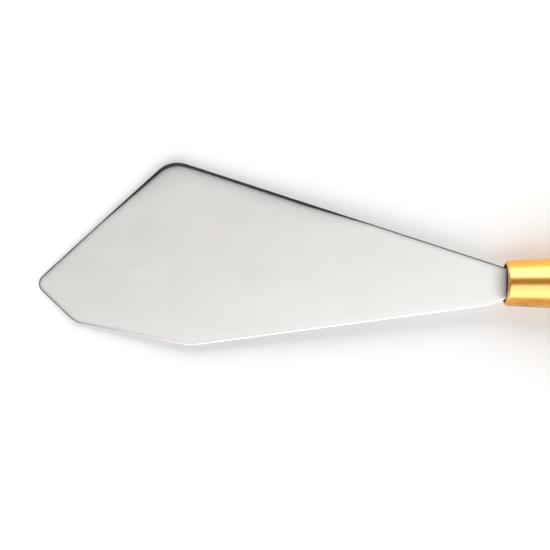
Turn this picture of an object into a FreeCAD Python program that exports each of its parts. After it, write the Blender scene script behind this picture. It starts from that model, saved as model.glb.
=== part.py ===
"""Palette knife with a kite-shaped flexible steel blade, a tapered brass ferrule and a turned wooden handle.

The knife lies along X, from the blade's tip at -X to the handle's butt at +X. The blade is flat in the
XY plane and +Z is up, away from the surface that the knife lies on. While the pieces are made, X = 0 is
the ferrule's mouth and the X axis is the handle's turning axis. They are moved together at the end, so
that the origin is the bottom centre of the whole knife's box.

The blade and its tang are one piece of steel on a real knife. They are two solids here, parted inside the
ferrule's mouth by a round knuckle, so that a sprung hinge can stand in for the blade's bending.
"""

import FreeCAD
import Part

import math
import os

# Every size is in millimetres.

# Blade outline. Stations are measured back from the sharp point where the two tip edges would meet.
BLADE_LENGTH = 84.7
CROWN_FROM_TIP = 24.5
CROWN_HEIGHT = 22.4
TOE_FROM_TIP = 7.25
TOE_DEPTH = 6.95
HEEL_FROM_TIP = 28.0
HEEL_DEPTH = 11.2
SHOULDER_FROM_MOUTH = 3.3
SHOULDER_FLARE = 1.2
NECK_WIDTH = 5.6
TIP_RADIUS = 1.8
CROWN_RADIUS = 5.1
TOE_RADIUS = 4.4
HEEL_RADIUS = 9.0
SHOULDER_RADIUS = 6.0

# Blade section: ground on both faces from just in front of the ferrule, thinner towards the tip, with both
# rims eased. The strip keeps its full thickness where the grind ends, and in the tang.
ROOT_THICKNESS = 0.8
TIP_THICKNESS = 0.4
GRIND_DEPTH = 0.03
GRIND_FROM_MOUTH = 1.2
GRIND_RUNOUT = 0.6
RIM_EASE = 0.12

# Knuckle between the blade and the tang.
KNUCKLE_INSET = 0.8
KNUCKLE_GAP = 0.06

# Tang
TANG_LENGTH = 44.0
TANG_END_WIDTH = 3.0

# Ferrule
FERRULE_LENGTH = 26.0
FERRULE_FLARE = 2.5
FERRULE_WALL = 0.45
LIP_RADIUS = 0.6
MOUTH_CLEARANCE = 0.7

# Handle: its length and its first two stations are measured back from the ferrule's rear end.
HANDLE_LENGTH = 106.0
TENON_RECESS = 2.2
TENON_CLEARANCE = 0.02
SHOULDER_STEP = 0.35
BEAD_WIDTH = 2.4
BEAD_RISE = 0.35
NECK_STATION = 6.0
NECK_DIAMETER = 10.4
BELLY_STATION = 38.0
BELLY_DIAMETER = 16.0
WAIST_FROM_BUTT = 22.0
WAIST_DIAMETER = 10.8
BULB_FROM_BUTT = 9.0
BULB_DIAMETER = 12.2
BUTT_FLAT_DIAMETER = 5.0

# Resin that beds the tang in its socket and fills the ferrule's mouth, apart from a slot for the neck.
RESIN_GAP = 0.25
MOUTH_FILL_INSET = 0.1
NECK_SLOT_CLEARANCE = 0.35

# Brass pin across the ferrule and the tang.
PIN_STATION = 17.0
PIN_DIAMETER = 1.4
PIN_HEAD_DIAMETER = 2.2
PIN_HEAD_RISE = 0.3

# How far a swell's curve runs level at each end, as a share of the swell's length.
SWELL_EASE = 0.42

X_AXIS = FreeCAD.Vector(1, 0, 0)
Y_AXIS = FreeCAD.Vector(0, 1, 0)
Z_AXIS = FreeCAD.Vector(0, 0, 1)
CENTRE = FreeCAD.Vector(0, 0, 0)

mouth_opening_radius = NECK_WIDTH / 2 + MOUTH_CLEARANCE
mouth_radius = mouth_opening_radius + LIP_RADIUS
rear_radius = mouth_radius + FERRULE_FLARE / 2
inner_lip_radius = LIP_RADIUS - FERRULE_WALL
knuckle_radius = ROOT_THICKNESS / 2
tang_start = KNUCKLE_INSET + knuckle_radius + KNUCKLE_GAP
tang_end = tang_start + TANG_LENGTH


def ferrule_radius(station):
    """Outer radius of the ferrule's straight taper, which starts where the lip ends."""
    along = (station - LIP_RADIUS) / (FERRULE_LENGTH - LIP_RADIUS)
    return mouth_radius + along * (rear_radius - mouth_radius)


def bore_radius(station):
    return ferrule_radius(station) - FERRULE_WALL


def tang_half_width(station):
    along = (station - tang_start) / TANG_LENGTH
    return NECK_WIDTH / 2 + along * (TANG_END_WIDTH - NECK_WIDTH) / 2


def rounded_outline(corners):
    """Closed wire in the XY plane through corners given as (x, y, radius). A radius of 0 stays sharp."""
    points = [FreeCAD.Vector(x, y, 0) for x, y, radius in corners]
    entries, middles, exits = [], [], []
    for number, (x, y, radius) in enumerate(corners):
        vertex = points[number]
        back = (points[number - 1] - vertex).normalize()
        ahead = (points[(number + 1) % len(points)] - vertex).normalize()
        half_angle = back.getAngle(ahead) / 2
        reach = radius / math.tan(half_angle)
        inward = (back + ahead).normalize()
        entries.append(vertex + back * reach)
        exits.append(vertex + ahead * reach)
        middles.append(vertex + inward * (radius / math.sin(half_angle) - radius))
    edges = []
    for number, (x, y, radius) in enumerate(corners):
        if radius > 0:
            edges.append(Part.Arc(entries[number], middles[number], exits[number]).toShape())
        following = (number + 1) % len(corners)
        edges.append(Part.LineSegment(exits[number], entries[following]).toShape())
    return Part.Wire(edges)


def plate(outline, low, high):
    """Solid plate with a flat outline, between two heights."""
    face = Part.Face(outline)
    face.translate(Z_AXIS * low)
    return face.extrude(Z_AXIS * (high - low))


def turned(profile_edges):
    """Solid of revolution about the X axis, from a closed profile in the XY plane."""
    face = Part.Face(Part.Wire(profile_edges))
    return face.revolve(CENTRE, X_AXIS, 360)


def line(start, end):
    return Part.LineSegment(FreeCAD.Vector(*start, 0), FreeCAD.Vector(*end, 0)).toShape()


def arc(start, middle, end):
    return Part.Arc(*(FreeCAD.Vector(*point, 0) for point in (start, middle, end))).toShape()


def swell(start, end):
    """Smooth curve between two profile points that runs level at both."""
    level = SWELL_EASE * (end[0] - start[0])
    curve = Part.BezierCurve()
    curve.setPoles(
        [
            FreeCAD.Vector(*start, 0),
            FreeCAD.Vector(start[0] + level, start[1], 0),
            FreeCAD.Vector(end[0] - level, end[1], 0),
            FreeCAD.Vector(*end, 0),
        ]
    )
    return curve.toShape()


def blade_outline():
    """Kite-shaped outline, from the neck round the crown, tip, toe, heel and shoulder."""
    half_neck = NECK_WIDTH / 2
    return rounded_outline(
        [
            (KNUCKLE_INSET, half_neck, 0),
            (0, half_neck, 0),
            (CROWN_FROM_TIP - BLADE_LENGTH, CROWN_HEIGHT, CROWN_RADIUS),
            (-BLADE_LENGTH, 0, TIP_RADIUS),
            (TOE_FROM_TIP - BLADE_LENGTH, -TOE_DEPTH, TOE_RADIUS),
            (HEEL_FROM_TIP - BLADE_LENGTH, -HEEL_DEPTH, HEEL_RADIUS),
            (-SHOULDER_FROM_MOUTH, -half_neck - SHOULDER_FLARE, SHOULDER_RADIUS),
            (0, -half_neck, 0),
            (KNUCKLE_INSET, -half_neck, 0),
        ]
    )


def taper_wedge(half_width):
    """Side view of the blade, ground flat below and falling to the tip's thickness above, across a width."""
    stock = ROOT_THICKNESS / 2
    ground = stock - GRIND_DEPTH
    runout_end = GRIND_RUNOUT - GRIND_FROM_MOUTH
    side_view = [
        (KNUCKLE_INSET, -stock),
        (runout_end, -stock),
        (-GRIND_FROM_MOUTH, -ground),
        (-BLADE_LENGTH, -ground),
        (-BLADE_LENGTH, TIP_THICKNESS - ground),
        (-GRIND_FROM_MOUTH, ground),
        (runout_end, stock),
        (KNUCKLE_INSET, stock),
    ]
    corners = [FreeCAD.Vector(x, -half_width, z) for x, z in side_view]
    return Part.Face(Part.makePolygon(corners, True)).extrude(Y_AXIS * (2 * half_width))


def rim_edges(blade):
    """Edges round the upper and lower face of the blade, in front of the mouth."""
    walls = [edge for edge in blade.Edges if edge.BoundBox.ZLength > 0.6 * TIP_THICKNESS]
    rims = [edge for edge in blade.Edges if not any(edge.isSame(wall) for wall in walls)]
    return [edge for edge in rims if edge.BoundBox.XMax < RIM_EASE and edge.BoundBox.XLength > RIM_EASE]


def make_blade():
    widest = CROWN_HEIGHT + HEEL_DEPTH
    blade = plate(blade_outline(), -ROOT_THICKNESS, ROOT_THICKNESS).common(taper_wedge(widest))
    blade = blade.makeChamfer(RIM_EASE, rim_edges(blade))
    knuckle = Part.makeCylinder(
        knuckle_radius, NECK_WIDTH, FreeCAD.Vector(KNUCKLE_INSET, -NECK_WIDTH / 2, 0), Y_AXIS
    )
    return blade.fuse(knuckle)


def tang_shaped(start, end, gap):
    """Tapered flat bar with the tang's plan from start to end, grown by a gap on its sides and faces."""
    front = tang_half_width(start) + gap
    back = tang_half_width(min(end, tang_end)) + gap
    outline = rounded_outline(
        [(start, front, 0), (start, -front, 0), (end, -back, 0.8 * back), (end, back, 0.8 * back)]
    )
    return plate(outline, -knuckle_radius - gap, knuckle_radius + gap)


def pin_hole():
    reach = 2 * rear_radius
    base = FreeCAD.Vector(PIN_STATION, 0, -reach)
    return Part.makeCylinder(PIN_DIAMETER / 2, 2 * reach, base, Z_AXIS)


def make_tang():
    return tang_shaped(tang_start, tang_end, 0).cut(pin_hole())


def socket():
    """Space in the handle that holds the tang and its resin, open at the tenon's front face."""
    return tang_shaped(TENON_RECESS, tang_end + RESIN_GAP, RESIN_GAP)


def lip_bend(radius, share):
    """Point on the lip's bend, from the mouth's opening at share 0 to the ferrule's side at share 1."""
    angle = share * math.pi / 2
    return (LIP_RADIUS - radius * math.cos(angle), mouth_opening_radius + radius * math.sin(angle))


def neck_slot():
    """Space in the mouth's resin in which the blade's neck bends, open towards the blade."""
    half_width = NECK_WIDTH / 2 + NECK_SLOT_CLEARANCE
    half_height = ROOT_THICKNESS / 2 + NECK_SLOT_CLEARANCE
    corner = FreeCAD.Vector(0, -half_width, -half_height)
    return Part.makeBox(tang_start, 2 * half_width, 2 * half_height, corner)


def make_resin():
    """Bed round the tang, joined to the plug that fills the ferrule in front of the tenon."""
    front = (MOUTH_FILL_INSET, mouth_opening_radius)
    back = (TENON_RECESS, bore_radius(TENON_RECESS))
    plug = turned(
        [
            line((MOUTH_FILL_INSET, 0), front),
            line(front, lip_bend(inner_lip_radius, 0)),
            arc(lip_bend(inner_lip_radius, 0), lip_bend(inner_lip_radius, 0.5), lip_bend(inner_lip_radius, 1)),
            line(lip_bend(inner_lip_radius, 1), back),
            line(back, (TENON_RECESS, 0)),
            line((TENON_RECESS, 0), (MOUTH_FILL_INSET, 0)),
        ]
    )
    resin = socket().fuse(plug.cut(neck_slot()))
    return resin.cut(tang_shaped(tang_start, tang_end, 0)).cut(pin_hole()).removeSplitter()


def make_ferrule():
    shell = turned(
        [
            arc(lip_bend(LIP_RADIUS, 0), lip_bend(LIP_RADIUS, 0.5), lip_bend(LIP_RADIUS, 1)),
            line(lip_bend(LIP_RADIUS, 1), (FERRULE_LENGTH, rear_radius)),
            line((FERRULE_LENGTH, rear_radius), (FERRULE_LENGTH, rear_radius - FERRULE_WALL)),
            line((FERRULE_LENGTH, rear_radius - FERRULE_WALL), lip_bend(inner_lip_radius, 1)),
            arc(lip_bend(inner_lip_radius, 1), lip_bend(inner_lip_radius, 0.5), lip_bend(inner_lip_radius, 0)),
            line(lip_bend(inner_lip_radius, 0), lip_bend(LIP_RADIUS, 0)),
        ]
    )
    return shell.cut(pin_hole())


def make_handle():
    """Turned handle: tenon, shoulder bead, neck, belly, waist, bulb and butt, with the tang's socket cut out."""
    tenon_front = bore_radius(TENON_RECESS) - TENON_CLEARANCE
    tenon_back = bore_radius(FERRULE_LENGTH) - TENON_CLEARANCE
    shoulder = rear_radius + SHOULDER_STEP
    bead_start = (FERRULE_LENGTH, shoulder)
    bead_top = (FERRULE_LENGTH + BEAD_WIDTH / 2, shoulder + BEAD_RISE)
    bead_end = (FERRULE_LENGTH + BEAD_WIDTH, shoulder)
    neck = (FERRULE_LENGTH + NECK_STATION, NECK_DIAMETER / 2)
    belly = (FERRULE_LENGTH + BELLY_STATION, BELLY_DIAMETER / 2)
    butt = (FERRULE_LENGTH + HANDLE_LENGTH, BUTT_FLAT_DIAMETER / 2)
    waist = (butt[0] - WAIST_FROM_BUTT, WAIST_DIAMETER / 2)
    bulb = (butt[0] - BULB_FROM_BUTT, BULB_DIAMETER / 2)
    rounding = Part.BezierCurve()
    rounding.setPoles(
        [
            FreeCAD.Vector(*bulb, 0),
            FreeCAD.Vector((bulb[0] + 2 * butt[0]) / 3, bulb[1], 0),
            FreeCAD.Vector(butt[0], (2 * bulb[1] + butt[1]) / 3, 0),
            FreeCAD.Vector(*butt, 0),
        ]
    )
    wood = turned(
        [
            line((TENON_RECESS, 0), (TENON_RECESS, tenon_front)),
            line((TENON_RECESS, tenon_front), (FERRULE_LENGTH, tenon_back)),
            line((FERRULE_LENGTH, tenon_back), bead_start),
            arc(bead_start, bead_top, bead_end),
            swell(bead_end, neck),
            swell(neck, belly),
            swell(belly, waist),
            swell(waist, bulb),
            rounding.toShape(),
            line(butt, (butt[0], 0)),
            line((butt[0], 0), (TENON_RECESS, 0)),
        ]
    )
    return wood.cut(socket()).cut(pin_hole())


def make_pin():
    """Pin with a low domed head peened over at each end, seated on the ferrule's outside."""
    seat = ferrule_radius(PIN_STATION)
    head_radius = PIN_HEAD_DIAMETER / 2
    sphere_radius = (head_radius**2 + PIN_HEAD_RISE**2) / (2 * PIN_HEAD_RISE)
    shank_base = FreeCAD.Vector(PIN_STATION, 0, -seat)
    pin = Part.makeCylinder(PIN_DIAMETER / 2, 2 * seat, shank_base, Z_AXIS)
    ferrule_body = Part.makeCone(
        mouth_radius,
        rear_radius,
        FERRULE_LENGTH - LIP_RADIUS,
        FreeCAD.Vector(LIP_RADIUS, 0, 0),
        X_AXIS,
    )
    for side in (-1, 1):
        top = side * (seat + PIN_HEAD_RISE)
        ball_centre = FreeCAD.Vector(PIN_STATION, 0, top - side * sphere_radius)
        ball = Part.makeSphere(sphere_radius, ball_centre)
        head_base = FreeCAD.Vector(PIN_STATION, 0, side * seat / 2)
        column = Part.makeCylinder(head_radius, seat, head_base, Z_AXIS * side)
        pin = pin.fuse(column.common(ball).cut(ferrule_body))
    return pin.removeSplitter()


def to_origin(pieces):
    """Move from the mouth of the ferrule to the bottom centre of the whole knife's box."""
    box = Part.makeCompound(list(pieces.values())).optimalBoundingBox(False)
    middle = (box.XMin + box.XMax) / 2, (box.YMin + box.YMax) / 2
    return FreeCAD.Vector(-middle[0], -middle[1], -box.ZMin)


def main():
    pieces = {
        "blade": make_blade(),
        "tang": make_tang(),
        "tang_resin": make_resin(),
        "ferrule": make_ferrule(),
        "ferrule_pin": make_pin(),
        "handle": make_handle(),
    }
    move = to_origin(pieces)
    os.makedirs("parts", exist_ok=True)
    for name, shape in pieces.items():
        shape.translate(move)
        shape.exportStep(f"parts/{name}.step")
        print(name, "valid", shape.isValid(), "solids", len(shape.Solids), "mm3", round(shape.Volume, 2))
    print("ferrule mouth centre at", [round(part, 4) for part in move])


main()
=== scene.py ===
"""Looks of a palette knife: a satin steel blade, a drawn brass ferrule and a lacquered wooden handle.

The knife lies along X with its blade's tip at -X and its butt at +X. Pieces are drawn in millimetres from
the ferrule's mouth, with the X axis as the handle's turning axis, and Datum puts them in the row frame.
"""

import enum
import logging
import math
from collections.abc import Iterable, Sequence
from dataclasses import dataclass
from typing import Any

import bmesh
import bpy
from mathutils import Matrix, Vector, noise
from mathutils.geometry import interpolate_bezier
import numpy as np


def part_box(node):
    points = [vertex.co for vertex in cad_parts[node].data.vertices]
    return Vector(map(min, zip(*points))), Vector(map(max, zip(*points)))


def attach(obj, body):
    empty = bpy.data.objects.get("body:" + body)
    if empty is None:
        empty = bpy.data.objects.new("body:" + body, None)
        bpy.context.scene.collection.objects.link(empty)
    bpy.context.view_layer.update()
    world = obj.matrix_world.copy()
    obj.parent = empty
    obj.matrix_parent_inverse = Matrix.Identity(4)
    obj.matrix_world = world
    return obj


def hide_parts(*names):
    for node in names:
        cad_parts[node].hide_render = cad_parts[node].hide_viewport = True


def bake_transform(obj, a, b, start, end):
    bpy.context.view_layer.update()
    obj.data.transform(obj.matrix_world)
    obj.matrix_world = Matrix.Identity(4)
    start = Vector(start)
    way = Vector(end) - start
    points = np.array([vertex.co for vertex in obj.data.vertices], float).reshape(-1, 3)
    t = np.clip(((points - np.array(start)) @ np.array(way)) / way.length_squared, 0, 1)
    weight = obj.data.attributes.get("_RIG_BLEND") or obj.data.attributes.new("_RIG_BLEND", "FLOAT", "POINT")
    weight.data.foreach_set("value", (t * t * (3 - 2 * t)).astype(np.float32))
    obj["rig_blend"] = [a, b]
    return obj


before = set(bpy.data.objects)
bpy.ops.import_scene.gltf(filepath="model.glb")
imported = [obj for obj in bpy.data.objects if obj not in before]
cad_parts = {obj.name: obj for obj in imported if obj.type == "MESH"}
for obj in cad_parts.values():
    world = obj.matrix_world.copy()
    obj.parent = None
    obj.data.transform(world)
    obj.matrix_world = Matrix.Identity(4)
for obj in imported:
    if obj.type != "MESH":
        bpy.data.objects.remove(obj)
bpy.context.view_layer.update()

log = logging.getLogger("palette_knife")

MM = 0.001  # metres in a millimetre
WELD = 0.0001  # millimetres within which two points of a mesh are one

Point = tuple[float, float]
Colour = tuple[float, float, float]


# ---------------------------------------------------------------- shader building


class Value:
    """A number that changes over a surface. Python's arithmetic on it adds Math nodes."""

    def __init__(self, graph: "Graph", socket: bpy.types.NodeSocket) -> None:
        """Wrap one output socket of a graph's node."""
        self.graph = graph
        self.socket = socket

    def __add__(self, other: "Value | float") -> "Value":
        """Sum."""
        return self.graph.math("ADD", self, other)

    def __radd__(self, other: float) -> "Value":
        """Sum, from the right."""
        return self.graph.math("ADD", other, self)

    def __sub__(self, other: "Value | float") -> "Value":
        """Difference."""
        return self.graph.math("SUBTRACT", self, other)

    def __rsub__(self, other: float) -> "Value":
        """Difference, from the right."""
        return self.graph.math("SUBTRACT", other, self)

    def __mul__(self, other: "Value | float") -> "Value":
        """Product."""
        return self.graph.math("MULTIPLY", self, other)

    def __rmul__(self, other: float) -> "Value":
        """Product, from the right."""
        return self.graph.math("MULTIPLY", other, self)

    def between(self, low: float, high: float) -> "Value":
        """Smooth step.

        Args:
            low: where the result is 0.
            high: where the result is 1. It may be below low, which turns the step round.

        Returns:
            A value from 0 to 1.
        """
        settings = {"interpolation_type": "SMOOTHSTEP"}
        sockets = {"Value": self, "From Min": low, "From Max": high}
        return self.graph.value(self.graph.add("ShaderNodeMapRange", settings, sockets), "Result")

    def swing(self, amount: float) -> "Value":
        """Centre a value of 0 to 1 on 0, times an amount."""
        return (self - 0.5) * amount


class Graph:
    """A node tree, with one method that adds any node."""

    def __init__(self, tree: bpy.types.NodeTree) -> None:
        """Take over a node tree."""
        self.tree = tree

    def add(
        self,
        kind: str,
        settings: dict[str, Any] | None = None,
        sockets: dict[str | int, Any] | None = None,
    ) -> bpy.types.Node:
        """Add a node.

        Args:
            kind: the node's type.
            settings: its own settings, set first.
            sockets: its inputs by name or number, each a plain value, a Value or an output socket.

        Returns:
            The new node.
        """
        node = self.tree.nodes.new(kind)
        for name, setting in (settings or {}).items():
            setattr(node, name, setting)
        for name, given in (sockets or {}).items():
            self.feed(node.inputs[name], given)
        return node

    def feed(self, socket: bpy.types.NodeSocket, given: Any) -> None:
        """Link or set one input socket.

        Args:
            socket: the input.
            given: a plain value, a Value or an output socket. A colour socket takes three numbers.
        """
        if isinstance(given, Value):
            given = given.socket
        if isinstance(given, bpy.types.NodeSocket):
            self.tree.links.new(given, socket)
        elif isinstance(given, tuple) and len(given) == 3 and socket.type == "RGBA":
            socket.default_value = (*given, 1.0)
        else:
            socket.default_value = given

    def value(self, node: bpy.types.Node, output: str | int = 0) -> Value:
        """Wrap a node's output for arithmetic."""
        return Value(self, node.outputs[output])

    def math(self, operation: str, *operands: Value | float) -> Value:
        """Work out one Math node from values or numbers."""
        sockets = dict(enumerate(operands))
        return self.value(self.add("ShaderNodeMath", {"operation": operation}, sockets))

    def mixed(self, factor: Value, first: Any, second: Any) -> bpy.types.NodeSocket:
        """Blend two colours.

        Args:
            factor: 0 for the first colour, 1 for the second.
            first: a colour or a colour socket.
            second: a colour or a colour socket.

        Returns:
            The blended colour's socket.
        """
        factor_input, first_input, second_input, colour_output = 0, 6, 7, 2
        settings = {"data_type": "RGBA", "clamp_factor": True}
        sockets = {factor_input: factor, first_input: first, second_input: second}
        return self.add("ShaderNodeMix", settings, sockets).outputs[colour_output]


@dataclass(frozen=True)
class Grain:
    """Noise with features of a given size along X, Y and Z, in millimetres.

    A size of 0 makes the pattern the same all along that axis. Where only its peaks are wanted, they start
    at the first of two levels and are full at the second.
    """

    size: tuple[float, float, float]
    detail: float
    warp: float = 0.0
    peak: tuple[float, float] = (0.0, 1.0)


class Surface(Graph):
    """A material's graph, with the patterns that the finishes share."""

    def __init__(self, name: str) -> None:
        """Start a material with a Principled surface.

        Args:
            name: the material's name.
        """
        self.material = bpy.data.materials.new(name)
        self.material.use_nodes = True
        super().__init__(self.material.node_tree)
        self.shader = next(n for n in self.tree.nodes if n.type == "BSDF_PRINCIPLED")
        self.place = self.add("ShaderNodeTexCoord").outputs["Object"]

    def beside(self, point: Vector) -> Value:
        """Measure along Y from a point.

        Args:
            point: a point in the row frame.

        Returns:
            How far the surface is beside the point, in millimetres.
        """
        offset = self.add("ShaderNodeVectorMath", {"operation": "SUBTRACT"}, {0: self.place, 1: point})
        split = self.add("ShaderNodeSeparateXYZ", None, {0: offset.outputs["Vector"]})
        return self.value(split, "Y") * (1 / MM)

    def grain(self, grain: Grain) -> Value:
        """Add a grain.

        Args:
            grain: its sizes in millimetres.

        Returns:
            Noise of about 0 to 1.
        """
        scale = [1 / (size * MM) if size else 0.0 for size in grain.size]
        stretched = self.add("ShaderNodeMapping", None, {"Vector": self.place, "Scale": Vector(scale)})
        sockets = {
            "Vector": stretched.outputs[0],
            "Scale": 1.0,
            "Detail": grain.detail,
            "Distortion": grain.warp,
        }
        return self.value(self.add("ShaderNodeTexNoise", None, sockets))

    def relief(self, height: Value, depth: float) -> None:
        """Raise the surface by a height of 0 to 1 times a depth in millimetres."""
        bump = self.add("ShaderNodeBump", None, {"Height": height, "Distance": depth * MM, "Strength": 1.0})
        self.feed(self.shader.inputs["Normal"], bump.outputs[0])

    def set(self, **sockets: Any) -> None:
        """Set the shader's inputs, with spaces in their names written as underscores."""
        for name, given in sockets.items():
            self.feed(self.shader.inputs[name.replace("_", " ")], given)


# ---------------------------------------------------------------- finishes


POLISH = "polish"  # point attribute of the blade: 0 on its satin faces, 1 on its bright rims


@dataclass(frozen=True)
class BladeSteel:
    """Stainless strip finished satin on its faces and bright on its ground rims.

    The faces have fine streaks from end to end, fainter ones across, and warm marks from handling.
    """

    colour: Colour = (0.93, 0.92, 0.895)
    warm_colour: Colour = (0.93, 0.875, 0.83)
    rim_colour: Colour = (0.80, 0.79, 0.77)
    satin_roughness: float = 0.47
    rim_roughness: float = 0.12
    streak: Grain = Grain((26.0, 0.5, 0.0), detail=3.0)
    hairline: Grain = Grain((6.5, 0.125, 0.0), detail=1.0)
    cross_streak: Grain = Grain((1.4, 40.0, 0.0), detail=3.0)
    smudge: Grain = Grain((13.0, 6.5, 0.0), detail=3.0, warp=0.7, peak=(0.54, 0.76))
    streak_roughness: float = 0.055
    cross_roughness: float = 0.04
    smudge_roughness: float = 0.05
    smudge_strength: float = 0.8
    relief: float = 0.0009
    streak_height: float = 0.6
    hairline_height: float = 0.4

    def material(self) -> bpy.types.Material:
        """Build the material.

        Returns:
            The steel, which reads the blade's polish.
        """
        surface = Surface("blade_steel")
        streaks = surface.grain(self.streak)
        hairlines = surface.grain(self.hairline)
        crossways = surface.grain(self.cross_streak)
        smudges = surface.grain(self.smudge)
        uneven = streaks.swing(self.streak_roughness) + hairlines.swing(self.streak_roughness)
        uneven = uneven + crossways.swing(self.cross_roughness) + smudges.swing(self.smudge_roughness)
        satin = self.satin_roughness + uneven
        polish = surface.value(surface.add("ShaderNodeAttribute", {"attribute_name": POLISH}), "Fac")
        handled = smudges.between(*self.smudge.peak) * self.smudge_strength
        face_colour = surface.mixed(handled, self.colour, self.warm_colour)
        surface.set(
            Base_Color=surface.mixed(polish, face_colour, self.rim_colour),
            Metallic=1.0,
            Roughness=satin + (self.rim_roughness - satin) * polish,
        )
        surface.relief(streaks * self.streak_height + hairlines * self.hairline_height, self.relief)
        return surface.material


@dataclass(frozen=True)
class DrawnBrass:
    """Polished brass with draw lines, tiny pits and tarnished patches, lacquered.

    The side below the ferrule's axis is darkened with painted shade, which stands in for the dark reflection
    of the shaded floor there, and the lacquer is worn thin on both sides. The sides are given by how far
    beside the axis they start and are full, in millimetres.
    """

    colour: Colour = (0.93, 0.455, 0.075)
    # the colour of the tarnished patches, and also of the painted shade on the side below the axis
    tarnish_and_shade_colour: Colour = (0.62, 0.27, 0.03)
    roughness: float = 0.35
    lacquer: float = 0.95
    worn_lacquer: float = 0.15
    lacquer_roughness: float = 0.15
    lacquer_ior: float = 2.0
    # painted shade: where the darkened side below the axis starts and is full, in millimetres beside the
    # axis
    painted_shade_flank: tuple[float, float] = (-2.2, -3.5)
    worn_flank: tuple[float, float] = (2.3, 3.1)
    draw_line: Grain = Grain((6.0, 0.35, 0.35), detail=3.0)
    ripple: Grain = Grain((2.2, 0.8, 0.8), detail=3.0, warp=0.4)
    patch: Grain = Grain((5.0, 2.5, 2.5), detail=4.0, warp=0.8, peak=(0.50, 0.74))
    pit: Grain = Grain((0.5, 0.35, 0.35), detail=1.0, peak=(0.66, 0.76))
    patch_tarnish: float = 0.5
    pit_tarnish: float = 0.45
    # painted shade: how dark the side below the axis is, even where no tarnished patch lies
    flank_painted_shade: float = 0.15
    line_roughness: float = 0.10
    tarnish_and_shade_roughness: float = 0.08
    relief: float = 0.010
    ripple_height: float = 0.7
    line_height: float = 0.3
    pit_depth: float = 0.3

    def material(self, mouth: Vector) -> bpy.types.Material:
        """Build the material.

        Args:
            mouth: the middle of the ferrule's mouth.

        Returns:
            The brass, with its flanks along the ferrule.
        """
        surface = Surface("drawn_brass")
        lines = surface.grain(self.draw_line)
        ripples = surface.grain(self.ripple)
        patches = surface.grain(self.patch)
        pits = surface.grain(self.pit).between(*self.pit.peak)
        beside = surface.beside(mouth)
        shaded_flank = beside.between(*self.painted_shade_flank)
        start, full = self.worn_flank
        unworn = beside.between(full, start) * beside.between(-full, -start)
        tarnish_and_shade = patches.between(*self.patch.peak) * self.patch_tarnish + pits * self.pit_tarnish
        # painted shade: the side below the axis is darkened to stand in for the dark reflection of the
        # shaded floor; the patches and pits above are tarnished marks
        tarnish_and_shade = tarnish_and_shade + shaded_flank * (patches + self.flank_painted_shade)
        surface.set(
            Base_Color=surface.mixed(tarnish_and_shade, self.colour, self.tarnish_and_shade_colour),
            Metallic=1.0,
            Roughness=self.roughness + lines.swing(self.line_roughness) + tarnish_and_shade * self.tarnish_and_shade_roughness,
            Coat_Weight=self.worn_lacquer + unworn * (self.lacquer - self.worn_lacquer),
            Coat_Roughness=self.lacquer_roughness,
            Coat_IOR=self.lacquer_ior,
        )
        height = ripples * self.ripple_height + lines * self.line_height - pits * self.pit_depth
        surface.relief(height, self.relief)
        return surface.material


@dataclass(frozen=True)
class LacqueredBeech:
    """Stained beech with its short dark flecks, under clear gloss lacquer."""

    early_colour: Colour = (0.40, 0.175, 0.070)
    late_colour: Colour = (0.235, 0.088, 0.034)
    fleck_colour: Colour = (0.110, 0.038, 0.016)
    roughness: float = 0.38
    lacquer_roughness: float = 0.07
    lacquer_ior: float = 1.5
    ring: Grain = Grain((90.0, 2.2, 5.5), detail=2.0, warp=0.5, peak=(0.38, 0.66))
    fibre: Grain = Grain((14.0, 0.22, 0.22), detail=3.0, peak=(0.35, 0.75))
    fleck: Grain = Grain((2.4, 0.20, 0.45), detail=0.0, peak=(0.66, 0.73))
    pore: Grain = Grain((1.6, 0.09, 0.09), detail=0.0, peak=(0.70, 0.78))
    ring_strength: float = 0.75
    fibre_strength: float = 0.35
    fleck_strength: float = 0.75
    pore_strength: float = 0.4
    fibre_roughness: float = 0.2
    relief: float = 0.03
    fibre_height: float = 0.5
    pore_depth: float = 0.4

    def material(self) -> bpy.types.Material:
        """Build the material.

        Returns:
            The wood, with its grain along X.
        """
        surface = Surface("lacquered_beech")
        rings = surface.grain(self.ring)
        fibres = surface.grain(self.fibre)
        flecks = surface.grain(self.fleck).between(*self.fleck.peak)
        pores = surface.grain(self.pore).between(*self.pore.peak)
        late = rings.between(*self.ring.peak) * self.ring_strength
        fibrous = fibres.between(*self.fibre.peak) * self.fibre_strength
        speckled = flecks * self.fleck_strength + pores * self.pore_strength
        wood = surface.mixed(late, self.early_colour, self.late_colour)
        wood = surface.mixed(fibrous, wood, self.late_colour)
        surface.set(
            Base_Color=surface.mixed(speckled, wood, self.fleck_colour),
            Roughness=self.roughness + fibres.swing(self.fibre_roughness),
            Coat_Weight=1.0,
            Coat_Roughness=self.lacquer_roughness,
            Coat_IOR=self.lacquer_ior,
        )
        height = fibres * self.fibre_height - flecks * self.pore_depth - pores * self.pore_depth
        surface.relief(height, self.relief)
        return surface.material


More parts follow.
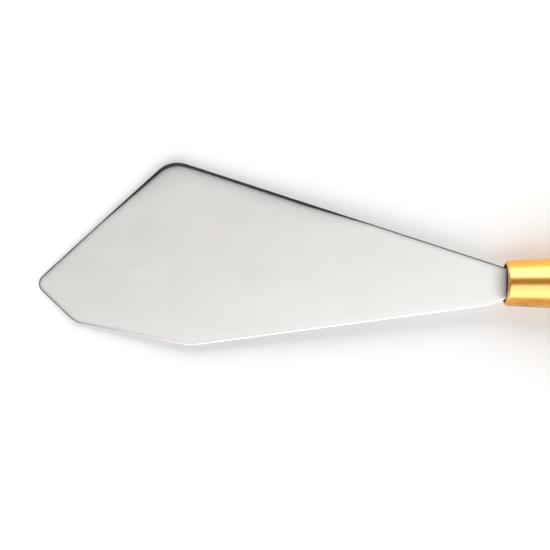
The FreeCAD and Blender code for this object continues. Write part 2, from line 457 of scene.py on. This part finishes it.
@dataclass(frozen=True)
class ResinPaintedShade:
    """Bedding resin, near black and nearly without sheen as painted shade for the deep shade in the
    ferrule's mouth, with a dull, slightly uneven skin.
    """

    # painted shade: near black, so that the mouth reads as deep shade
    colour: Colour = (0.020, 0.011, 0.006)
    dusty_colour: Colour = (0.045, 0.026, 0.014)
    roughness: float = 0.80
    specular: float = 0.1
    skin: Grain = Grain((0.8, 0.8, 0.8), detail=3.0)
    skin_roughness: float = 0.2
    relief: float = 0.05

    def material(self) -> bpy.types.Material:
        """Build the material.

        Returns:
            The resin.
        """
        surface = Surface("resin_painted_shade")
        skin = surface.grain(self.skin)
        surface.set(
            Base_Color=surface.mixed(skin, self.colour, self.dusty_colour),
            Roughness=self.roughness + skin.swing(self.skin_roughness),
            Specular_IOR_Level=self.specular,
        )
        surface.relief(skin, self.relief)
        return surface.material


@dataclass(frozen=True)
class PaleCard:
    """Smooth white card that the knife lies on."""

    colour: Colour = (0.820, 0.818, 0.810)
    roughness: float = 0.9
    specular: float = 0.1

    def material(self) -> bpy.types.Material:
        """Build the material.

        Returns:
            The card.
        """
        surface = Surface("pale_card")
        surface.set(
            Base_Color=self.colour,
            Roughness=self.roughness,
            Specular_IOR_Level=self.specular,
        )
        return surface.material


# ---------------------------------------------------------------- mesh building


class Shading(enum.Enum):
    """How a piece's edges are shaded, by the angle above which an edge is crisp."""

    GROUND = 20.0
    TURNED = 28.0


@dataclass(frozen=True)
class Corner:
    """A corner of a flat outline in millimetres, with the radius that rounds it."""

    x: float
    y: float
    radius: float = 0.0


@dataclass(frozen=True)
class Datum:
    """Centre of the ferrule's mouth in the row frame, which every piece is drawn from."""

    mouth: Vector

    @classmethod
    def from_frame(cls) -> "Datum":
        """Find the mouth from the ferrule's box."""
        low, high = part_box("ferrule")
        return cls(Vector((low.x, (low.y + high.y) / 2, (low.z + high.z) / 2)))

    def station(self, point: Vector) -> Vector:
        """A point of the row frame in millimetres from the mouth."""
        return (point - self.mouth) / MM

    def place(self, x: float, y: float = 0.0, z: float = 0.0) -> Vector:
        """A point given in millimetres from the mouth, in the row frame."""
        return self.mouth + Vector((x, y, z)) * MM

    def make(self, mesh: bmesh.types.BMesh, name: str, shading: Shading) -> bpy.types.Object:
        """Turn a finished bmesh into an object in the row frame.

        Args:
            mesh: the piece in millimetres from the mouth. It is freed.
            name: the piece's name.
            shading: which of its edges are crisp.

        Returns:
            The new object, at the origin, with its place in its mesh.
        """
        crisp = math.radians(shading.value)
        for face in mesh.faces:
            face.smooth = True
        for edge in mesh.edges:
            if edge.calc_face_angle(0.0) > crisp:
                edge.smooth = False
        to_frame = Matrix.Translation(self.mouth) @ Matrix.Scale(MM, 4)
        bmesh.ops.transform(mesh, matrix=to_frame, verts=mesh.verts[:])
        data = bpy.data.meshes.new(name)
        mesh.to_mesh(data)
        mesh.free()
        piece = bpy.data.objects.new(name, data)
        bpy.context.scene.collection.objects.link(piece)
        return piece


def arc(centre: Point, radius: float, start: float, end: float, steps: int) -> list[Point]:
    """Points along an arc.

    Args:
        centre: the arc's centre.
        radius: its radius.
        start: the angle of its first point from the first axis, in degrees.
        end: the angle of its last point, in degrees.
        steps: how many parts it is divided into.

    Returns:
        The points, ends included.
    """
    turns = [math.radians(start + (end - start) * step / steps) for step in range(steps + 1)]
    return [(centre[0] + radius * math.cos(turn), centre[1] + radius * math.sin(turn)) for turn in turns]


def lathe(profile: Sequence[Point], closed: bool, steps: int) -> bmesh.types.BMesh:
    """Turn a profile round the X axis.

    Args:
        profile: points (x, radius) in order.
        closed: whether the last point joins the first, as in a tube's wall.
        steps: how many facets go round.

    Returns:
        The turned bmesh, closed and facing outwards.
    """
    mesh = bmesh.new()
    points = [mesh.verts.new((x, radius, 0.0)) for x, radius in profile]
    following = points[1:] + points[:1] if closed else points[1:]
    edges = [mesh.edges.new(pair) for pair in zip(points, following)]
    bmesh.ops.spin(
        mesh,
        geom=points + edges,
        cent=(0, 0, 0),
        axis=(1, 0, 0),
        dvec=(0, 0, 0),
        angle=math.tau,
        steps=steps,
        use_merge=True,
    )
    bmesh.ops.remove_doubles(mesh, verts=mesh.verts[:], dist=WELD)
    bmesh.ops.recalc_face_normals(mesh, faces=mesh.faces[:])
    return mesh


def flat_plate(corners: Sequence[Corner], arc_steps: int) -> bmesh.types.BMesh:
    """Flat face in the XY plane with rounded corners, facing up.

    Args:
        corners: the corners in order. A radius of 0 stays sharp.
        arc_steps: how many edges round a corner.

    Returns:
        A bmesh with one face.
    """
    mesh = bmesh.new()
    verts = [mesh.verts.new((corner.x, corner.y, 0.0)) for corner in corners]
    mesh.faces.new(verts)
    places = [vert.co.copy() for vert in verts]
    for number, corner in enumerate(corners):
        if corner.radius:
            here = places[number]
            back = (places[number - 1] - here).normalized()
            ahead = (places[(number + 1) % len(places)] - here).normalized()
            half = back.angle(ahead) / 2
            made = bmesh.ops.bevel(
                mesh,
                geom=[verts[number]],
                offset=corner.radius / math.tan(half),
                offset_type="OFFSET",
                segments=arc_steps,
                profile=0.5,
                affect="VERTICES",
                material=-1,
            )
            centre = here + (back + ahead).normalized() * (corner.radius / math.sin(half))
            for vert in made["verts"]:
                vert.co = centre + (vert.co - centre).normalized() * corner.radius
    bmesh.ops.recalc_face_normals(mesh, faces=mesh.faces[:])
    if mesh.faces[:][0].normal.z < 0:
        bmesh.ops.reverse_faces(mesh, faces=mesh.faces[:])
    return mesh


def cut_across(mesh: bmesh.types.BMesh, stations: Iterable[float]) -> None:
    """Cut a mesh by planes square to X.

    Args:
        mesh: the mesh.
        stations: where the planes cross the X axis.
    """
    for station in stations:
        everything = mesh.verts[:] + mesh.edges[:] + mesh.faces[:]
        bmesh.ops.bisect_plane(mesh, geom=everything, plane_co=(station, 0, 0), plane_no=(1, 0, 0))


# ---------------------------------------------------------------- the pieces


@dataclass(frozen=True)
class Band:
    """One band of a ground rim, as wide as a share of the rim's width plus an extra in millimetres.

    The lean is in degrees, and the polish is that of the band's outer edge.
    """

    share: float
    extra: float
    lean: float
    polish: float = 0.0


@dataclass
class Blade:
    """Kite-shaped blade and its tang, one strip of steel that bends in front of the ferrule.

    Sizes are in millimetres. Corners are measured back from the point where the tip's edges would meet.
    """

    length: float = 84.7
    crown_from_tip: float = 24.5
    crown_height: float = 22.4
    toe_from_tip: float = 7.25
    toe_depth: float = 6.95
    heel_from_tip: float = 28.0
    heel_depth: float = 11.2
    shoulder_from_mouth: float = 3.3
    shoulder_flare: float = 1.2
    neck_width: float = 5.6
    tip_radius: float = 1.8
    crown_radius: float = 5.1
    toe_radius: float = 4.4
    heel_radius: float = 9.0
    shoulder_radius: float = 6.0
    tang_end: float = 45.26
    tang_end_width: float = 3.0
    tang_corner_radius: float = 1.2
    root_thickness: float = 0.8
    tip_thickness: float = 0.4
    grind_depth: float = 0.03
    grind_from_mouth: float = 1.2
    grind_runout: float = 0.6
    fine_rim: float = 0.115
    broad_rim: float = 0.50
    crown_rim_extra: float = 0.18
    crown_rim_spread: float = 4.0
    rim_reach_to_neck: float = 38.0
    rim_reach_to_tip: float = 17.0
    rim_fade: float = 12.0
    tang_rim_share: float = 0.35
    upper_rim: tuple[Band, ...] = (
        Band(share=0.85, extra=0.0, lean=7.4, polish=1.0),
        Band(share=0.35, extra=0.06, lean=4.0, polish=0.85),
        Band(share=1.0, extra=0.10, lean=2.2, polish=0.3),
        Band(share=3.4, extra=0.10, lean=1.4, polish=0.1),
        Band(share=0.0, extra=0.30, lean=0.0),
    )
    back_rim: tuple[Band, ...] = (
        Band(share=0.0, extra=0.25, lean=8.0, polish=1.0),
        Band(share=0.0, extra=0.30, lean=0.0),
    )
    arc_steps: int = 14
    cut_spacing: float = 1.5
    bend_behind: float = 30.0
    bend_ahead: float = 100.0

    def corners(self) -> list[Corner]:
        """Outline of the blade and the tang.

        Returns:
            The corners from the neck round the crown and the tip to the tang's end.
        """
        half_neck = self.neck_width / 2
        half_end = self.tang_end_width / 2
        return [
            Corner(0.0, half_neck),
            Corner(self.crown_from_tip - self.length, self.crown_height, self.crown_radius),
            Corner(-self.length, 0.0, self.tip_radius),
            Corner(self.toe_from_tip - self.length, -self.toe_depth, self.toe_radius),
            Corner(self.heel_from_tip - self.length, -self.heel_depth, self.heel_radius),
            Corner(-self.shoulder_from_mouth, -half_neck - self.shoulder_flare, self.shoulder_radius),
            Corner(0.0, -half_neck),
            Corner(self.tang_end, -half_end, self.tang_corner_radius),
            Corner(self.tang_end, half_end, self.tang_corner_radius),
        ]

    def stations(self) -> list[float]:
        """Where the strip is cut across, so that it can bend and follow its grind.

        Returns:
            Stations along X.
        """
        count = int((self.length + self.tang_end) / self.cut_spacing)
        evenly = [-self.length + self.cut_spacing * (number + 0.5) for number in range(count)]
        return evenly + [-self.grind_from_mouth, self.grind_runout - self.grind_from_mouth]

    def ground(self, x: float) -> tuple[float, float]:
        """Heights of the strip's faces, without the rims.

        Args:
            x: the station.

        Returns:
            The lower face's height and the upper face's.
        """
        stock = self.root_thickness / 2
        ground_share = (self.grind_runout - self.grind_from_mouth - x) / self.grind_runout
        depth = min(max(ground_share, 0.0), 1.0) * self.grind_depth
        along = min(max((-self.grind_from_mouth - x) / (self.length - self.grind_from_mouth), 0.0), 1.0)
        fall = along * (self.root_thickness - 2 * self.grind_depth - self.tip_thickness)
        return depth - stock, stock - depth - fall

    def rim_width_at(self, point: Vector) -> float:
        """Width of the bright rim: broad along the crown's two sides, fine everywhere else.

        Args:
            point: a point of the outline.

        Returns:
            The width there, before the bands take their shares of it.
        """
        crown = Vector((self.crown_from_tip - self.length, self.crown_height, 0.0))
        away = (point - crown).length
        reach = self.rim_reach_to_neck if point.x > crown.x else self.rim_reach_to_tip
        share = min(max((reach - away) / self.rim_fade, 0.0), 1.0)
        if point.y < 0:
            share = 0.0
        swell = self.crown_rim_extra * math.exp(-((away / self.crown_rim_spread) ** 2))
        return self.fine_rim + (self.broad_rim - self.fine_rim) * share + swell

    def grind_rim(
        self,
        mesh: bmesh.types.BMesh,
        faces: list[bmesh.types.BMFace],
        bands: Sequence[Band],
        upper: bool,
    ) -> None:
        """Round a face off towards its edge, in bands that each lean further from the face.

        Args:
            mesh: the strip.
            faces: the face's parts.
            bands: the bands from the edge inwards.
            upper: whether the face is the upper one.
        """
        step = 0.1
        rings = [
            bmesh.ops.inset_region(
                mesh, faces=faces, thickness=step, use_even_offset=True, use_boundary=True
            )["faces"]
            for _ in bands
        ]
        spokes = []
        for ring, inside in zip(rings, rings[1:] + [faces]):
            inner_verts = {vert for face in inside for vert in face.verts}
            edges = {edge for face in ring for edge in face.edges}
            crossing = [e for e in edges if (e.verts[0] in inner_verts) != (e.verts[1] in inner_verts)]
            ordered = [e.verts if e.verts[1] in inner_verts else (e.verts[1], e.verts[0]) for e in crossing]
            spokes.append({outer: inner for outer, inner in ordered})
        for start in spokes[0]:
            chain = [start]
            for ring_spokes in spokes:
                chain.append(ring_spokes[chain[-1]])
            self._set_chain(chain, bands, step, upper)
            for vert, band in zip(chain, bands):
                vert[mesh.verts.layers.float[POLISH]] = band.polish

    def _set_chain(
        self, chain: list[bmesh.types.BMVert], bands: Sequence[Band], step: float, upper: bool
    ) -> None:
        """Space one chain of points by the bands' widths and leans.

        Args:
            chain: the points from the edge inwards.
            bands: the bands between them.
            step: how far apart the points are now.
            upper: whether the chain is on the upper face.
        """
        base = self.rim_width_at(chain[0].co)
        room = self.tang_rim_share if chain[0].co.x > 0 else 1.0
        widths = [(band.share * base + band.extra) * room for band in bands]
        steps = [(inner.co - outer.co) / step for outer, inner in zip(chain, chain[1:])]
        for outer, inner, toward, width in zip(chain, chain[1:], steps, widths):
            inner.co = outer.co + toward * width
        height = self.ground(chain[-1].co.x)[int(upper)]
        chain[-1].co.z = height
        for vert, band, width in reversed(list(zip(chain, bands, widths))):
            fall = width * math.tan(math.radians(band.lean))
            height += -fall if upper else fall
            vert.co.z = height

    def build(self, datum: Datum) -> bpy.types.Object:
        """Model the strip.

        Args:
            datum: where the mouth is.

        Returns:
            The blade and tang as one piece.
        """
        mesh = flat_plate(self.corners(), self.arc_steps)
        mesh.verts.layers.float.new(POLISH)
        cut_across(mesh, self.stations())
        under = mesh.faces[:]
        grown = bmesh.ops.extrude_face_region(mesh, geom=under)["geom"]
        upper = [item for item in grown if isinstance(item, bmesh.types.BMFace)]
        raised = {vert for face in upper for vert in face.verts}
        for vert in mesh.verts:
            low, high = self.ground(vert.co.x)
            vert.co.z = high if vert in raised else low
        bmesh.ops.recalc_face_normals(mesh, faces=mesh.faces[:])
        self.grind_rim(mesh, upper, self.upper_rim, upper=True)
        self.grind_rim(mesh, under, self.back_rim, upper=False)
        return datum.make(mesh, "blade_and_tang", Shading.GROUND)

    def dress(self, piece: bpy.types.Object) -> None:
        """Give the strip its steel."""
        piece.data.materials.append(BladeSteel().material())

    def add(self, datum: Datum) -> bpy.types.Object:
        """Build, dress and attach the strip, which bends from inside the handle to beyond the tip.

        Args:
            datum: where the mouth is.

        Returns:
            The finished piece.
        """
        piece = self.build(datum)
        self.dress(piece)
        start = datum.place(self.bend_behind)
        end = datum.place(-self.bend_ahead)
        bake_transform(piece, "handle", "blade", start=start, end=end)
        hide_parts("blade", "tang")
        return piece


@dataclass
class Ferrule:
    """Tapered brass tube with its mouth rolled inwards. Sizes are in millimetres.

    A wave along the tube is given per millimetre and a wave around it per turn's radius. The mouth's slant
    reaches a number of lip radii back.
    """

    length: float
    rear_radius: float
    opening_radius: float = 3.5
    lip_radius: float = 0.6
    wall: float = 0.45
    rear_rounding: float = 0.12
    lip_unevenness: float = 0.05
    lip_wave_around: float = 1.1
    lip_wave_start: float = 7.0
    mouth_slant: float = 0.12
    mouth_reach: float = 3.0
    out_of_round: float = 0.012
    wave_along: float = 0.18
    wave_around: float = 1.3
    arc_steps: int = 10
    rim_steps: int = 4
    taper_steps: int = 24
    round_steps: int = 160

    @classmethod
    def from_frame(cls) -> "Ferrule":
        """Take the length and the rear radius from the ferrule's box."""
        low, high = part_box("ferrule")
        return cls(length=(high.x - low.x) / MM, rear_radius=(high.y - low.y) / 2 / MM)

    def outer_radius(self, station: float) -> float:
        """Outer radius of the taper.

        Args:
            station: a station behind the lip.

        Returns:
            The radius there.
        """
        mouth_radius = self.opening_radius + self.lip_radius
        along = (station - self.lip_radius) / (self.length - self.lip_radius)
        return mouth_radius + along * (self.rear_radius - mouth_radius)

    def profile(self) -> list[Point]:
        """Profile of the wall.

        Returns:
            Points round the lip, back along the outside, round the rear rim and forward along the inside.
        """
        lip_centre = (self.lip_radius, self.opening_radius)
        outside = [
            (station, self.outer_radius(station))
            for station in self._stations(self.lip_radius, self.length - self.rear_rounding)[1:]
        ]
        rim_centre = (self.length - self.rear_rounding, outside[-1][1] - self.rear_rounding)
        inside = [
            (station, self.outer_radius(station) - self.wall)
            for station in reversed(self._stations(self.lip_radius, self.length)[1:])
        ]
        return (
            arc(lip_centre, self.lip_radius, 180, 90, self.arc_steps)
            + outside[:-1]
            + arc(rim_centre, self.rear_rounding, 90, 0, self.rim_steps)
            + inside
            + arc(lip_centre, self.lip_radius - self.wall, 90, 180, self.arc_steps)
        )

    def _stations(self, start: float, end: float) -> list[float]:
        """Stations evenly spaced along the taper, ends included."""
        return [start + (end - start) * step / self.taper_steps for step in range(self.taper_steps + 1)]

    def settle(self, mesh: bmesh.types.BMesh) -> None:
        """Give the tube the slight unevenness of hand-rolled work.

        Args:
            mesh: the turned tube.
        """
        across, lip_across = self.wave_around, self.lip_wave_around
        for vert in mesh.verts:
            around = Vector((0.0, vert.co.y, vert.co.z)).normalized()
            sample = Vector((vert.co.x * self.wave_along, around.y * across, around.z * across))
            vert.co += around * (noise.noise(sample) * self.out_of_round)
            near_lip = max(0.0, 1.0 - vert.co.x / (self.mouth_reach * self.lip_radius))
            wave = noise.noise(Vector((self.lip_wave_start, around.y * lip_across, around.z * lip_across)))
            vert.co.x += near_lip * (self.lip_unevenness * wave + self.mouth_slant * around.y)

    def add(self, datum: Datum, brass: bpy.types.Material) -> bpy.types.Object:
        """Build, dress and attach the ferrule.

        Args:
            datum: where the mouth is.
            brass: the material that it shares with the pin.

        Returns:
            The finished piece.
        """
        mesh = lathe(self.profile(), closed=True, steps=self.round_steps)
        self.settle(mesh)
        piece = datum.make(mesh, "ferrule_shell", Shading.TURNED)
        piece.data.materials.append(brass)
        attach(piece, "handle")
        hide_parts("ferrule")
        return piece


@dataclass
class Pin:
    """Brass pin across the ferrule, peened to a low dome at each end. Sizes are in millimetres."""

    station: float
    half_height: float
    radius: float = 0.7
    head_radius: float = 1.1
    head_rise: float = 0.3
    head_depth: float = 0.2
    arc_steps: int = 8
    round_steps: int = 48

    @classmethod
    def from_frame(cls, datum: Datum) -> "Pin":
        """Take the pin's station and height from its box.

        Args:
            datum: where the mouth is.

        Returns:
            The pin.
        """
        low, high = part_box("ferrule_pin")
        return cls(
            station=datum.station((low + high) / 2).x,
            half_height=(high.z - low.z) / 2 / MM,
        )

    def profile(self) -> list[Point]:
        """Profile of the pin.

        Returns:
            Points (height, radius) from the top of one head to the top of the other.
        """
        seat = self.half_height - self.head_rise
        sphere_radius = (self.head_radius**2 + self.head_rise**2) / (2 * self.head_rise)
        sweep = math.degrees(math.asin(self.head_radius / sphere_radius))
        dome = arc((self.half_height - sphere_radius, 0.0), sphere_radius, 0, sweep, self.arc_steps)
        half = dome + [
            (seat - self.head_depth, self.head_radius),
            (seat - self.head_depth, self.radius),
        ]
        mirrored = [(-height, radius) for height, radius in reversed(half)]
        return half + mirrored

    def add(self, datum: Datum, brass: bpy.types.Material) -> bpy.types.Object:
        """Build, dress and attach the pin, turned upright at its station.

        Args:
            datum: where the mouth is.
            brass: the material that it shares with the ferrule.

        Returns:
            The finished piece.
        """
        mesh = lathe(self.profile(), closed=False, steps=self.round_steps)
        upright = Matrix.Translation((self.station, 0, 0)) @ Matrix.Rotation(-math.pi / 2, 4, "Y")
        bmesh.ops.transform(mesh, matrix=upright, verts=mesh.verts[:])
        piece = datum.make(mesh, "peened_pin", Shading.TURNED)
        piece.data.materials.append(brass)
        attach(piece, "handle")
        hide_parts("ferrule_pin")
        return piece


@dataclass
class Handle:
    """Turned wooden handle with a tenon for the ferrule.

    Sizes are in millimetres. The first stations are measured back from the ferrule's rear end, and the
    waist and bulb forward from the butt.
    """

    ferrule: Ferrule
    butt: float
    tenon_recess: float = 2.2
    tenon_clearance: float = 0.02
    shoulder_step: float = 0.35
    shoulder_rounding: float = 0.15
    bead_width: float = 2.4
    bead_rise: float = 0.35
    neck_station: float = 6.0
    neck_radius: float = 5.2
    belly_station: float = 38.0
    belly_radius: float = 8.0
    waist_from_butt: float = 22.0
    waist_radius: float = 5.4
    bulb_from_butt: float = 9.0
    bulb_radius: float = 6.1
    butt_flat_radius: float = 2.5
    swell_ease: float = 0.42
    swell_steps: int = 30
    bead_steps: int = 16
    round_steps: int = 160

    @classmethod
    def from_frame(cls, datum: Datum, ferrule: Ferrule) -> "Handle":
        """Take the butt's station and the belly's radius from the handle's box.

        Args:
            datum: where the mouth is.
            ferrule: the ferrule that the tenon fits.

        Returns:
            The handle.
        """
        low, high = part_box("handle")
        return cls(
            ferrule=ferrule,
            butt=datum.station(high).x,
            belly_radius=(high.z - low.z) / 2 / MM,
        )

    def swell(self, start: Point, end: Point) -> list[Point]:
        """Points of a smooth curve that runs level at both its ends, without its first point."""
        level = self.swell_ease * (end[0] - start[0])
        return self._bezier(start, (start[0] + level, start[1]), (end[0] - level, end[1]), end)

    def _bezier(self, *poles: Point) -> list[Point]:
        """Points of a cubic curve, without its first point."""
        points = interpolate_bezier(*(Vector(pole) for pole in poles), self.swell_steps + 1)
        return [(point.x, point.y) for point in points[1:]]

    def profile(self) -> list[Point]:
        """Profile of the handle.

        Returns:
            Points from the middle of the tenon's front face to the middle of the butt.
        """
        rear = self.ferrule.length
        bore = self.ferrule.wall + self.tenon_clearance
        shoulder = self.ferrule.rear_radius + self.shoulder_step
        bead_chord = self.bead_width / 2
        bead_radius = (bead_chord**2 + self.bead_rise**2) / (2 * self.bead_rise)
        bead_centre = (rear + bead_chord, shoulder + self.bead_rise - bead_radius)
        half_turn = math.degrees(math.asin(bead_chord / bead_radius))
        bead = arc(bead_centre, bead_radius, 90 + half_turn, 90 - half_turn, self.bead_steps)
        neck = (rear + self.neck_station, self.neck_radius)
        belly = (rear + self.belly_station, self.belly_radius)
        waist = (self.butt - self.waist_from_butt, self.waist_radius)
        bulb = (self.butt - self.bulb_from_butt, self.bulb_radius)
        rounding = self._bezier(
            bulb,
            ((bulb[0] + 2 * self.butt) / 3, bulb[1]),
            (self.butt, (2 * bulb[1] + self.butt_flat_radius) / 3),
            (self.butt, self.butt_flat_radius),
        )
        return (
            [(self.tenon_recess, 0.0)]
            + [(self.tenon_recess, self.ferrule.outer_radius(self.tenon_recess) - bore)]
            + [(rear, self.ferrule.rear_radius - bore), (rear, shoulder - self.shoulder_rounding)]
            + bead
            + self.swell(bead[-1], neck)
            + self.swell(neck, belly)
            + self.swell(belly, waist)
            + self.swell(waist, bulb)
            + rounding
            + [(self.butt, 0.0)]
        )

    def add(self, datum: Datum) -> bpy.types.Object:
        """Build, dress and attach the handle.

        Args:
            datum: where the mouth is.

        Returns:
            The finished piece.
        """
        mesh = lathe(self.profile(), closed=False, steps=self.round_steps)
        piece = datum.make(mesh, "turned_handle", Shading.TURNED)
        piece.data.materials.append(LacqueredBeech().material())
        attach(piece, "handle")
        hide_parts("handle")
        return piece


class ResinBed:
    """Resin that beds the tang. It keeps the shape that it has in the frame."""

    def add(self) -> bpy.types.Object:
        """Dress the frame's own piece.

        Returns:
            The finished piece.
        """
        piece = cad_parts["tang_resin"]
        piece.data.materials.clear()
        # painted shade: the resin's near-black finish fills the ferrule's mouth where it is in shade
        piece.data.materials.append(ResinPaintedShade().material())
        return piece


# ---------------------------------------------------------------- the studio


@dataclass(frozen=True)
class Softbox:
    """Rectangular lamp that faces the knife. Angles are in degrees, sizes in metres.

    Across and along are how far it hangs off the vertical, and yaw turns it about the way that it faces.
    """

    name: str
    across: float
    along: float
    yaw: float
    distance: float
    length: float
    width: float
    brightness: float

    def add(self, target: Vector) -> bpy.types.Object:
        """Hang the lamp.

        Args:
            target: the point that it faces.

        Returns:
            The lamp, which lights the knife and is mirrored in it but isn't itself seen.
        """
        lamp = bpy.data.lights.new(self.name, "AREA")
        lamp.shape = "RECTANGLE"
        lamp.size = self.length
        lamp.size_y = self.width
        lamp.energy = self.brightness * self.length * self.width * math.pi
        holder = bpy.data.objects.new(self.name, lamp)
        bpy.context.scene.collection.objects.link(holder)
        slope = Vector((math.tan(math.radians(self.along)), math.tan(math.radians(self.across)), 1.0))
        back = slope.normalized()
        side = (Vector((1.0, 0.0, 0.0)) - back * back.x).normalized()
        turned = Matrix((side, back.cross(side), back)).transposed()
        turned = turned @ Matrix.Rotation(math.radians(self.yaw), 3, "Z")
        holder.location = target + back * self.distance
        holder.rotation_euler = turned.to_euler()
        holder.visible_camera = False
        return holder


@dataclass
class Studio:
    """White card, lamps on both long sides, a dim ceiling and a camera straight above the blade."""

    view_width: float = 99.0
    view_shift: tuple[float, float] = (-41.4, 1.5)
    lens: float = 90.0
    sensor: float = 36.0
    floor_size: float = 0.7
    horizon: Colour = (0.90, 0.90, 0.89)
    ceiling: Colour = (0.02, 0.02, 0.02)
    backdrop: Colour = (1.0, 1.0, 0.99)
    horizon_band: tuple[float, float] = (0.02, 0.12)
    softboxes: tuple[Softbox, ...] = (
        Softbox(
            name="left_softbox",
            across=57,
            along=4,
            yaw=0,
            distance=0.6,
            length=1.3,
            width=0.66,
            brightness=2.5,
        ),
        Softbox(
            name="right_softbox",
            across=-43,
            along=6,
            yaw=19,
            distance=0.42,
            length=0.95,
            width=0.52,
            brightness=2.15,
        ),
        Softbox(
            name="end_softbox",
            across=4,
            along=-42,
            yaw=0,
            distance=1.5,
            length=0.55,
            width=1.2,
            brightness=0.7,
        ),
    )

    def lay_floor(self, tip: Vector, body: bpy.types.Object) -> None:
        """Lay the card under the knife as it rests: on the underside of its tip and on its handle.

        Args:
            tip: the underside of the blade's tip.
            body: the handle.
        """
        fall = max((tip.z - vert.co.z) / (vert.co.x - tip.x) for vert in body.data.vertices)
        mesh = bmesh.new()
        bmesh.ops.create_grid(mesh, x_segments=1, y_segments=1, size=self.floor_size / 2)
        lean = Matrix.Translation(tip) @ Matrix.Rotation(math.atan(fall), 4, "Y")
        bmesh.ops.transform(mesh, matrix=lean, verts=mesh.verts[:])
        data = bpy.data.meshes.new("card")
        mesh.to_mesh(data)
        mesh.free()
        data.materials.append(PaleCard().material())
        floor = bpy.data.objects.new("card", data)
        bpy.context.scene.collection.objects.link(floor)

    def hang_sky(self) -> None:
        """Surround the set with a pale horizon under a dim ceiling, and show a white backdrop behind it."""
        world = bpy.data.worlds.new("studio")
        bpy.context.scene.world = world
        world.use_nodes = True
        sky = Graph(world.node_tree)
        background = next(n for n in sky.tree.nodes if n.type == "BACKGROUND")
        direction = sky.add("ShaderNodeTexCoord").outputs["Generated"]
        height = sky.value(sky.add("ShaderNodeSeparateXYZ", None, {0: direction}), "Z")
        seen = sky.value(sky.add("ShaderNodeLightPath"), "Is Camera Ray")
        room = sky.mixed(height.between(*self.horizon_band), self.horizon, self.ceiling)
        sky.feed(background.inputs["Color"], sky.mixed(seen, room, self.backdrop))

    def place_camera(self, datum: Datum) -> None:
        """Look straight down at the blade with a long lens.

        Args:
            datum: where the mouth is.
        """
        data = bpy.data.cameras.new("camera")
        data.lens = self.lens
        data.sensor_width = self.sensor
        camera = bpy.data.objects.new("camera", data)
        bpy.context.scene.collection.objects.link(camera)
        height = self.view_width * self.lens / self.sensor
        camera.location = datum.place(*self.view_shift, height)
        bpy.context.scene.camera = camera

    def add(self, datum: Datum, tip: Vector, body: bpy.types.Object) -> None:
        """Set up everything that isn't the knife.

        Args:
            datum: where the mouth is.
            tip: the underside of the blade's tip.
            body: the handle.
        """
        self.place_camera(datum)
        self.lay_floor(tip, body)
        self.hang_sky()
        for softbox in self.softboxes:
            softbox.add(datum.mouth)
        bpy.context.scene.view_settings.view_transform = "Standard"


def main() -> None:
    """Build the knife round its frame, then the studio."""
    logging.basicConfig(level=logging.INFO, format="%(name)s: %(message)s")
    datum = Datum.from_frame()
    brass = DrawnBrass().material(datum.mouth)
    Blade().add(datum)
    ferrule = Ferrule.from_frame()
    ferrule.add(datum, brass)
    Pin.from_frame(datum).add(datum, brass)
    handle = Handle.from_frame(datum, ferrule).add(datum)
    ResinBed().add()
    tip_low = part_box("blade")[0]
    tip = Vector((tip_low.x, datum.mouth.y, tip_low.z))
    Studio().add(datum, tip, handle)


if __name__ == "__main__":
    main()
